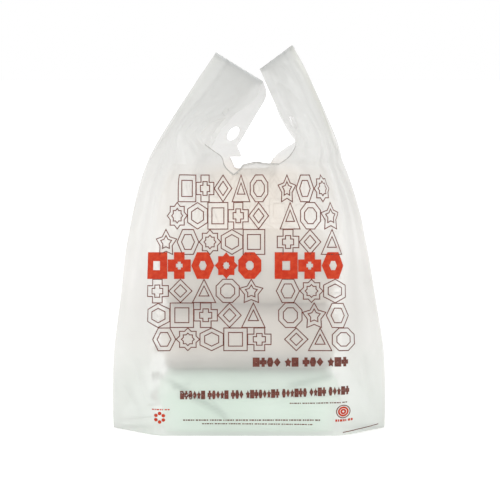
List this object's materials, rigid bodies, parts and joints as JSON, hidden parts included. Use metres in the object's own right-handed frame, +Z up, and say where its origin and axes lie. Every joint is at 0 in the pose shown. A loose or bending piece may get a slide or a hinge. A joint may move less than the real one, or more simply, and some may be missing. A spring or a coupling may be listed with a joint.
{
  "type": "t-shirt carrier bag",
  "caption": "Standing thin film carrier bag with gusseted sides, two welded loop handles and a notched mouth, filled by a stack of square lidded containers.",
  "frame": {"origin": "centre of the footprint on the surface that the bag stands on", "axes": "+X to the right seen from the front, +Y from the front panel to the back, +Z up"},
  "size_m": [0.304, 0.205, 0.429],
  "materials": {
    "film": "white translucent high-density polyethylene film, softly glossy",
    "foam": "pale expanded polystyrene foam, matt"
  },
  "bodies": {
    "bag": {"front_panel": "film", "back_panel": "film", "left_gusset_front": "film", "left_gusset_back": "film", "right_gusset_front": "film", "right_gusset_back": "film", "base_front": "film", "base_back": "film", "bottom_seal": "film"},
    "left_handle": {"left_handle_front_strap": "film", "left_handle_back_strap": "film", "left_handle_front_gusset": "film", "left_handle_back_gusset": "film", "left_handle_top_seal": "film"},
    "right_handle": {"right_handle_front_strap": "film", "right_handle_back_strap": "film", "right_handle_front_gusset": "film", "right_handle_back_gusset": "film", "right_handle_top_seal": "film"},
    "load": {"container_lower_tray": "foam", "container_lower_lid": "foam", "container_middle_tray": "foam", "container_middle_lid": "foam", "container_upper_tray": "foam", "container_upper_lid": "foam"}
  },
  "joints": [
    {"name": "left_handle_swing", "type": "hinge", "parent": "bag", "child": "left_handle", "pos_m": [-0.0725, 0, 0.322], "axis": [0, -1, 0], "range_deg": [-6, 75]},
    {"name": "right_handle_swing", "type": "hinge", "parent": "bag", "child": "right_handle", "pos_m": [0.0715, 0, 0.322], "axis": [0, 1, 0], "range_deg": [-6, 75]},
    {"name": "load_lift", "type": "slide", "parent": "bag", "child": "load", "axis": [0, 0, 1], "range_m": [0, 0.012]}
  ]
}
